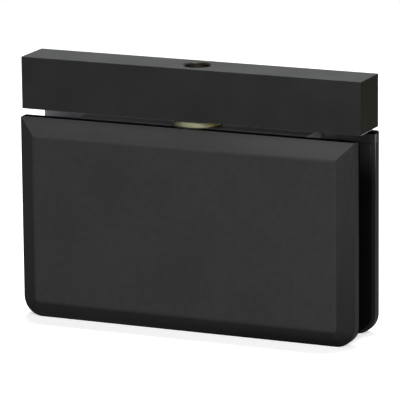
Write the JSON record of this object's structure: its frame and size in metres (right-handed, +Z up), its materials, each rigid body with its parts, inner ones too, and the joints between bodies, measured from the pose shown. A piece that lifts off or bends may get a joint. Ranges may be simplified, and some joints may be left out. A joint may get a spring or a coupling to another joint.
{
  "type": "header mount hinge",
  "caption": "Glass door hinge: a bolt-up header bar carries a vertical pivot pin, and a bevelled two-plate clamp with gaskets swings on it under a brass collar.",
  "frame": {"origin": "centre of the header bar's top face, on the pivot axis", "axes": "+X along the bar, +Y from the front plate to the back plate, +Z up to the header"},
  "size_m": [0.0904, 0.0208, 0.0654],
  "materials": {
    "bar_black": "smooth satin black coat",
    "plate_black": "matte black coat with a fine grain",
    "screw_black": "black oxide",
    "bare_brass": "turned, bare",
    "steel": "turned stainless",
    "gasket_rubber": "smooth sheet"
  },
  "bodies": {
    "header": {"header_block": "bar_black", "pivot_pin": "steel", "pin_end_washer": "steel", "pin_end_screw": "steel"},
    "clamp": {"collar_bush": "bare_brass", "lower_bush": "bare_brass", "centre_block": "plate_black", "adjuster_left": "screw_black", "adjuster_right": "screw_black", "spring_left": "steel", "spring_right": "steel", "front_plate": "plate_black", "back_plate": "plate_black", "front_gasket": "gasket_rubber", "back_gasket": "gasket_rubber", "clamp_screws": "screw_black"},
    "left_plunger": {"plunger_left": "bare_brass"},
    "right_plunger": {"plunger_right": "bare_brass"}
  },
  "joints": [
    {"name": "door_swing", "type": "hinge", "parent": "header", "child": "clamp", "pos_m": [0, 0, -0.0335], "axis": [0, 0, 1], "range_deg": [-90, 90]},
    {"name": "left_plunger_slide", "type": "slide", "parent": "clamp", "child": "left_plunger", "axis": [-1, 0, 0], "range_m": [0, 0.0005], "stiffness_N_per_m": 6000, "springref_m": -0.002, "deforming": ["spring_left"]},
    {"name": "right_plunger_slide", "type": "slide", "parent": "clamp", "child": "right_plunger", "axis": [1, 0, 0], "range_m": [0, 0.0005], "stiffness_N_per_m": 6000, "springref_m": -0.002, "deforming": ["spring_right"]}
  ]
}
